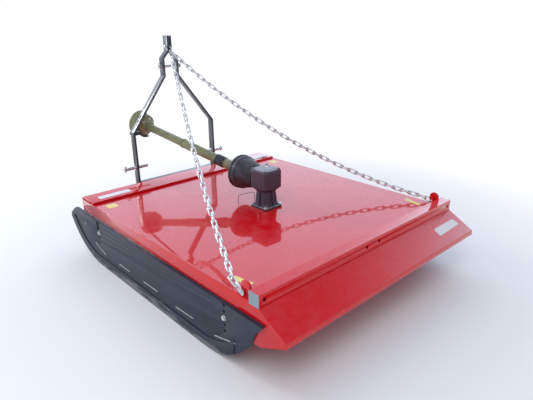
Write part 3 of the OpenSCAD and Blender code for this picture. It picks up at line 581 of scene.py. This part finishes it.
black_plastic = Finish("black_plastic", "black_plastic")
scuff = black_plastic.noise(18, 5, 0.65)
scuffed = scuff.above(0.55, 0.2)
black_plastic.set(Base_Color=black_plastic.blend(scuffed, tone(42, 41, 48), tone(76, 75, 86)))
black_plastic.set(Roughness=0.30 + scuff * 0.3)
black_plastic.bump(black_plastic.noise(220, 2) * 0.3 + scuff, 0.0005, 0.3)
cone_low, cone_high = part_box("bell_guard")
cone_y0, cone_y1 = cone_low.y - tube_front - gear_y, cone_high.y - tube_front - gear_y
cone_r = (cone_high.x - cone_low.x) / 2
cone = bmesh.new()
lathe(cone, (
    (cone_y0, 0.030), (cone_y0, 0.060), (cone_y0 + 0.018, 0.072), (cone_y1 - 0.060, cone_r - 0.012),
    (cone_y1 - 0.046, cone_r - 0.009), (cone_y1 - 0.041, cone_r - 0.0035),
    (cone_y1 - 0.035, cone_r - 0.0035), (cone_y1 - 0.031, cone_r - 0.006),
    (cone_y1 - 0.012, cone_r - 0.005), (cone_y1 - 0.009, cone_r),
    (cone_y1 - 0.001, cone_r), (cone_y1, cone_r - 0.001), (cone_y1, cone_r - 0.007),
    (cone_y1 - 0.060, cone_r - 0.014), (cone_y0 + 0.020, 0.068), (cone_y0 + 0.004, 0.056),
    (cone_y0 + 0.004, 0.030),
), spot(0, gear_y, input_z), Vector((0, 1, 0)))
make("bell_guard_dressed", cone, black_plastic, "frame", hides=("bell_guard",), crease=28)


# Wire bail
# A bent wire stands on the deck beside the gearbox, and keeps the guard's chain off the paint.
def bent_wire(shape, points, radius, sides=8):
    rings = []
    for step, point in enumerate(points):
        run = points[min(step + 1, len(points) - 1)] - points[max(step - 1, 0)]
        place = Matrix.Translation(point) @ run.to_track_quat("Z", "Y").to_matrix().to_4x4()
        made = bmesh.ops.create_circle(shape, segments=sides, radius=radius, matrix=place)["verts"]
        rings.append(list({e for v in made for e in v.link_edges}))
    for first, second in zip(rings, rings[1:]):
        bmesh.ops.bridge_loops(shape, edges=first + second)
    bmesh.ops.holes_fill(shape, edges=rings[0] + rings[-1], sides=0)
    bmesh.ops.recalc_face_normals(shape, faces=shape.faces)


bail = bmesh.new()
bent_wire(bail, [spot(*p) for p in (
    (-0.088, 0.866, 0.000), (-0.087, 0.866, 0.036), (-0.084, 0.865, 0.044), (-0.076, 0.864, 0.048),
    (0.016, 0.852, 0.046), (0.024, 0.851, 0.042), (0.027, 0.850, 0.034), (0.028, 0.850, 0.000),
)], 0.0016)
make("wire_bail", bail, dark_steel, "frame", crease=60)


# Universal joints and yokes
# Forged yokes on needle-bearing crosses, left as machined steel under a film of grease. Each cross
# has a grease nipple.
forged = Finish("forged_steel", "steel", metallic=0.75)
scale = forged.noise(30, 5, 0.6)
forged.set(Base_Color=forged.blend(scale, tone(92, 92, 94), tone(150, 151, 153)))
forged.set(Roughness=0.3 + scale * 0.3)
forged.bump(scale, 0.0006, 0.4)
for node in ("input_yoke", "rear_yoke", "joint_cross", "front_cross", "front_yoke", "drive_tube"):
    rounded(node, forged, 0.001)


# Shaft guards
# Two olive plastic tubes slide in each other round the turning shaft. A black collar joins the rear
# tube to its neck, and both have moulded grip ribs.
olive = Finish("olive_plastic", "olive_plastic", roughness=0.42)
mark = olive.noise(9, 5, 0.6) * olive.noise(60, 3)
olive.set(Base_Color=olive.blend(mark.above(0.26, 0.1), tone(143, 147, 110), tone(124, 127, 98)))
olive.bump(olive.noise(200, 2) * 0.3 + mark, 0.0005, 0.3)

joint_low, joint_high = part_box("joint_cross")
hub = (joint_low + joint_high) / 2
slide = next(j for j in frame["joints"] if j["name"] == "shaft_slide")
shaft_way = Vector(slide["axis"]).normalized()


def on_shaft(distance):
    return hub + shaft_way * distance


for node in ("guard_neck", "guard_outer_tube", "guard_inner_tube"):
    rounded(node, olive, 0.0012)
rounded("guard_collar", black_plastic, 0.002)
grips = bmesh.new()
for distance in (0.080, 0.092, 0.104, 0.116):
    ring(grips, on_shaft(distance), shaft_way, 0.0310, 0.004, 48)
for distance in (0.516, 0.523):
    ring(grips, on_shaft(distance), shaft_way, 0.0290, 0.004, 48)
make("guard_grip_ribs", grips, olive, "shaft_rear", crease=80)
collar_ribs = bmesh.new()
for distance in (0.172, 0.186, 0.200, 0.214, 0.228):
    ring(collar_ribs, on_shaft(distance), shaft_way, 0.0328, 0.005, 48)
make("collar_ribs", collar_ribs, black_plastic, "shaft_rear", crease=80)


# Front bell
# The guard ends in an olive bell over the tractor's joint. Its shoulder is held by a ring of small
# bolts.
corners = np.array([v.co for v in frame["nodes"]["guard_front_bell"].data.vertices])
reach = (corners - np.array(hub)) @ np.array(shaft_way)
bell_t0, bell_t1 = float(reach.min()), float(reach.max())
front_bell = bmesh.new()
lathe(front_bell, (
    (bell_t0, 0.0175), (bell_t0, 0.0315), (bell_t0 + 0.004, 0.036), (bell_t0 + 0.015, 0.066),
    (bell_t0 + 0.017, 0.0705), (bell_t0 + 0.020, 0.0722), (bell_t1 - 0.012, 0.0822),
    (bell_t1 - 0.010, 0.0848), (bell_t1 - 0.001, 0.0849), (bell_t1, 0.084), (bell_t1, 0.081),
    (bell_t1 - 0.014, 0.0787),
    (bell_t0 + 0.022, 0.0685), (bell_t0 + 0.006, 0.030), (bell_t0 + 0.004, 0.0175),
), hub, shaft_way)
make("front_bell_dressed", front_bell, olive, "shaft_front", hides=("guard_front_bell",), crease=28)

bell_bolts = bmesh.new()
cross_x = shaft_way.cross(Vector((0, 0, 1))).normalized()
cross_z = cross_x.cross(shaft_way)
bolt_count, bolt_circle_r = 6, 0.051
for step in range(bolt_count):
    turn = math.tau * (step + 0.25) / bolt_count
    out = cross_x * math.cos(turn) + cross_z * math.sin(turn)
    seat = on_shaft(bell_t0 + 0.0095) + out * bolt_circle_r
    slope = (out * 0.40 - shaft_way * 0.92).normalized()
    bolt_head(bell_bolts, seat, slope, 0.0062, 0.006)
make("front_bell_bolts", bell_bolts, zinc, "shaft_front", edge=0.0003)


# Chain bolt, master link and stay chains
# Two welded chains of round wire, plated bright zinc, run from the mast's top to the lugs. Each link
# follows the pose of its own solid.
def oval_link(shape, centre, way, flat, inner_l, inner_w, wire=0.008):
    """A link of round wire: two half rings, joined by straight sides."""
    mean_r = (inner_w + wire) / 2
    start = bmesh.ops.create_circle(
        shape, segments=8, radius=wire / 2,
        matrix=Matrix.Translation((0, -mean_r, 0)) @ Matrix.Rotation(math.pi / 2, 4, "Y"))["verts"]
    edges = list({e for v in start for e in v.link_edges})
    bmesh.ops.spin(shape, geom=start + edges, cent=(0, 0, 0), axis=(0, 0, 1), angle=math.pi, steps=6)
    made = [v for v in shape.verts if v.tag is False]
    bmesh.ops.translate(shape, vec=((inner_l - inner_w) / 2, 0, 0), verts=made)
    half_link = made + list({f for v in made for f in v.link_faces})
    bmesh.ops.mirror(shape, geom=half_link, axis="X", merge_dist=0)
    made = [v for v in shape.verts if v.tag is False]
    for side in (-1, 1):
        rim = [e for e in {e for v in made for e in v.link_edges}
               if e.is_boundary and e.verts[0].co.y * side > 0]
        bmesh.ops.bridge_loops(shape, edges=rim)
    place = Matrix((way, flat, way.cross(flat))).transposed().to_4x4()
    place.translation = centre
    bmesh.ops.transform(shape, matrix=place, verts=made)
    for vert in made:
        vert.tag = True


def link_poses(node):
    """The centre, long axis, width axis and length of each separate solid of a chain."""
    shape = copy_of(node)
    left, found = set(shape.verts), []
    while left:
        group, queue = set(), [left.pop()]
        while queue:
            vert = queue.pop()
            group.add(vert)
            near = {e.other_vert(vert) for e in vert.link_edges} & left
            left -= near
            queue.extend(near)
        points = np.array([v.co for v in group])
        low, high = points.min(0), points.max(0)
        middle = points.mean(0)
        axes = np.linalg.svd(points - middle)[2]
        along = [(points - middle) @ axis for axis in axes]
        spans = [np.ptp(reach) for reach in along]
        centre = middle + sum(axis * (reach.max() + reach.min()) / 2 for axis, reach in zip(axes, along))
        order = np.argsort(spans)[::-1]
        found.append((Vector(centre), Vector(axes[order[0]]), Vector(axes[order[1]]), spans[order[0]]))
    shape.free()
    return sorted(found, key=lambda pose: -pose[0].z)


for node in ("chain_left", "chain_right"):
    poses = link_poses(node)
    length = float(np.median([pose[3] for pose in poses]))
    pitch = length - 0.0165
    spread = []
    for centre, way, flat, span in poses:
        count = round((span - length) / pitch) + 1
        way = way if way.z < 0 else -way
        for step in range(count):
            spread.append((centre + way * pitch * (step - (count - 1) / 2), way))
    chain = bmesh.new()
    for step, (centre, way) in enumerate(spread):
        across = way.cross(Vector((0, 0, 1))).normalized()
        flat = across if step % 2 == 0 else way.cross(across).normalized()
        oval_link(chain, centre, way, flat, pitch + 0.0082, 0.0125)
    bmesh.ops.recalc_face_normals(chain, faces=chain.faces)
    make(node + "_dressed", chain, zinc, "frame", hides=(node,), crease=70)

master = bmesh.new()
(centre, way, flat, span), = link_poses("master_link")
oval_link(master, centre, way, flat, span - 0.016, 0.026)
bmesh.ops.recalc_face_normals(master, faces=master.faces)
make("master_link_dressed", master, zinc, "frame", hides=("master_link",), crease=70)

hang_low, hang_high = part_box("chain_bolt")
hang_y, hang_z = (hang_low.y + hang_high.y) / 2, (hang_low.z + hang_high.z) / 2
hang = bmesh.new()
head_x = 0.017
for side in (-1, 1):
    bolt_head(hang, Vector((side * head_x, hang_y, hang_z)), Vector((side, 0, 0)), 0.0115, 0.0078)
rod(hang, Vector((-head_x, hang_y, hang_z)), Vector((hang_high.x, hang_y, hang_z)), 0.007)
make("chain_bolt_dressed", hang, zinc, "frame", hides=("chain_bolt",), edge=0.0003)


# Blank labels
# Yellow patches by the chain lugs and on the deck's front, and white oblongs on the skirt and the
# front strip. All are vinyl stickers with nothing on them.
vinyl_t = 0.0003


def sticker(name, corners, normal, finish, corner_r=0.004):
    shape = bmesh.new()
    verts = [shape.verts.new(spot(*corner) + normal * vinyl_t) for corner in corners]
    face = shape.faces.new(verts)
    if face.normal.dot(normal) < 0:
        face.normal_flip()
    grown = bmesh.ops.extrude_face_region(shape, geom=[face])["geom"]
    raised = [part for part in grown if isinstance(part, bmesh.types.BMVert)]
    bmesh.ops.translate(shape, vec=normal * vinyl_t, verts=raised)
    upright = [e for e in shape.edges
               if abs((e.verts[0].co - e.verts[1].co).normalized().dot(normal)) > 0.99]
    bmesh.ops.bevel(shape, geom=upright, offset=corner_r, offset_type="OFFSET", segments=4, profile=0.5,
                    affect="EDGES", material=-1)
    bmesh.ops.recalc_face_normals(shape, faces=shape.faces)
    return make(name, shape, finish, "frame")


yellow = Finish("yellow_vinyl", "olive_plastic", roughness=0.35)
fade = yellow.noise(40, 4)
yellow.set(Base_Color=yellow.blend(fade, tone(240, 206, 96), tone(244, 224, 150)))
yellow.bump(fade, 0.0002, 0.2)
white = Finish("white_vinyl", "plug_grey", roughness=0.35)
fade = white.noise(40, 4)
white.set(Base_Color=white.blend(fade, tone(238, 238, 240), tone(226, 222, 228)))
white.bump(fade, 0.0002, 0.2)
up = Vector((0, 0, 1))
for side in (-1, 1):
    rear = [(side * x, y, 0)
            for x, y in ((0.698, 0.188), (0.666, 0.193), (0.645, 0.084), (0.674, 0.083))]
    sticker("yellow_label_rear_" + ("left" if side < 0 else "right"), rear, up, yellow)
    front = [(side * x, y, 0)
             for x, y in ((0.702, 1.393), (0.638, 1.393), (0.638, 1.329), (0.702, 1.329))]
    sticker("yellow_label_front_" + ("left" if side < 0 else "right"), front, up, yellow)
skirt_way = Vector((0, -0.489, 0.873))
strip_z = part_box("front_strip")[1].z - deck_top
for name, x in (("left", -0.576), ("right", 0.622)):
    strip_label = [(x + out, y, strip_z)
                   for out, y in ((-0.108, 1.536), (0.108, 1.536), (0.108, 1.486), (-0.108, 1.486))]
    sticker("white_label_front_" + name, strip_label, up, white, 0.008)
sticker("white_label", [(0.488, -0.112, -0.044), (0.693, -0.111, -0.0435), (0.707, -0.149, -0.0648),
                        (0.486, -0.156, -0.0687)], skirt_way, white, 0.012)


# Rotor and blades
# A forged hub carries a flat bar with a blade bolted to each end. The blades swing freely, and their
# leading edges are ground bright.
for node in ("rotor_hub", "blade_carrier"):
    rounded(node, slate, 0.003)
rounded("blade_bolts", zinc, 0.001)
blade_steel = Finish("blade_steel", "steel", metallic=0.8)
rust = blade_steel.noise(12, 6, 0.65)
rusty = rust.above(0.5, 0.15)
blade_steel.set(Base_Color=blade_steel.blend(rusty, tone(110, 108, 106), tone(92, 66, 50)))
blade_steel.set(Metallic=0.85 - rusty * 0.5)
blade_steel.set(Roughness=0.35 + rust * 0.3)
blade_steel.bump(rust, 0.0008, 0.4)
for node, side in (("blade_left", -1), ("blade_right", 1)):
    shape = copy_of(node)
    low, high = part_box(node)
    rotor_y = (low.y + high.y) / 2
    leading = [e for e in shape.edges
               if all((v.co.y - rotor_y) * side > 0.044 and v.co.z < low.z + 0.001 for v in e.verts)
               and abs(e.verts[0].co.x - e.verts[1].co.x) > 0.2]
    bmesh.ops.bevel(shape, geom=leading, offset=0.009, offset_type="OFFSET", segments=1, profile=0.5,
                    affect="EDGES", material=-1)
    make(node + "_dressed", shape, blade_steel, body_of(node), hides=(node,), edge=0.0008)


# Studio
# A pale floor that turns to plain white far off, under a dome that is brightest ahead of the camera.
# One broad light stands behind the camera, and a smaller one ahead shines on the left leg's face.
# The camera itself sees the dome as plain white.
floor_mesh = bmesh.new()
bmesh.ops.create_grid(floor_mesh, x_segments=1, y_segments=1, size=60)
floor_data = bpy.data.meshes.new("floor")
floor_mesh.to_mesh(floor_data)
floor_mesh.free()
floor = bpy.data.objects.new("floor", floor_data)
bpy.context.collection.objects.link(floor)
floor_finish = Finish("floor", "plug_grey", roughness=0.9)
floor_x, floor_y = floor_finish.along("X"), floor_finish.along("Y")
far_off = (floor_x * floor_x + floor_y * floor_y).above(4.5, 3.7)
black, plain_white = (0, 0, 0, 1), (1, 1, 1, 1)
cloudy = floor_finish.noise(0.6, 2)
near_white = floor_finish.blend(cloudy, (0.90, 0.90, 0.90, 1), (0.92, 0.92, 0.92, 1))
floor_finish.set(Base_Color=floor_finish.blend(far_off, near_white, black))
floor_finish.set(Emission_Color=floor_finish.blend(far_off, black, plain_white), Emission_Strength=1.0)
floor_data.materials.append(floor_finish.material)

world = bpy.data.worlds.new("dome")
world.use_nodes = True
bpy.context.scene.world = world
sky = world.node_tree
backdrop = sky.nodes["Background"]
backdrop.inputs["Strength"].default_value = 1.0
direction = sky.nodes.new("ShaderNodeTexCoord")
lead = sky.nodes.new("ShaderNodeVectorMath")
lead.operation = "DOT_PRODUCT"
lead.inputs[1].default_value = (math.sin(heading), math.cos(heading), 0)
sky.links.new(direction.outputs["Generated"], lead.inputs[0])
shade = sky.nodes.new("ShaderNodeValToRGB")
shade.color_ramp.interpolation = "EASE"
shade.color_ramp.elements[0].position = 0.0
shade.color_ramp.elements[0].color = (0.36, 0.37, 0.42, 1)
shade.color_ramp.elements[1].position = 0.75
shade.color_ramp.elements[1].color = (1.2, 1.4, 1.7, 1)
sky.links.new(lead.outputs["Value"], shade.inputs["Fac"])
seen = sky.nodes.new("ShaderNodeLightPath")
plain = sky.nodes.new("ShaderNodeMix")
plain.data_type = "RGBA"
plain.inputs[7].default_value = plain_white
sky.links.new(seen.outputs["Is Camera Ray"], plain.inputs["Factor"])
sky.links.new(shade.outputs["Color"], plain.inputs[6])
sky.links.new(plain.outputs[2], backdrop.inputs["Color"])


def area_light(name, place, target, size, energy):
    data = bpy.data.lights.new(name, "AREA")
    data.energy = energy
    data.size = size
    light = bpy.data.objects.new(name, data)
    light.location = place
    light.rotation_euler = (Vector(target) - light.location).to_track_quat("-Z", "Y").to_euler()
    bpy.context.collection.objects.link(light)


area_light("key", (-3.0, -2.6, 4.2), (0, 0, 0.4), 3.0, 90)
leg_middle = Vector((-0.19, 0.84, 0.95))
area_light("leg_light", leg_middle + Vector((-0.39, 0.85, 0.33)).normalized() * 6, leg_middle, 1.6, 160)
bpy.context.scene.view_settings.view_transform = "Standard"
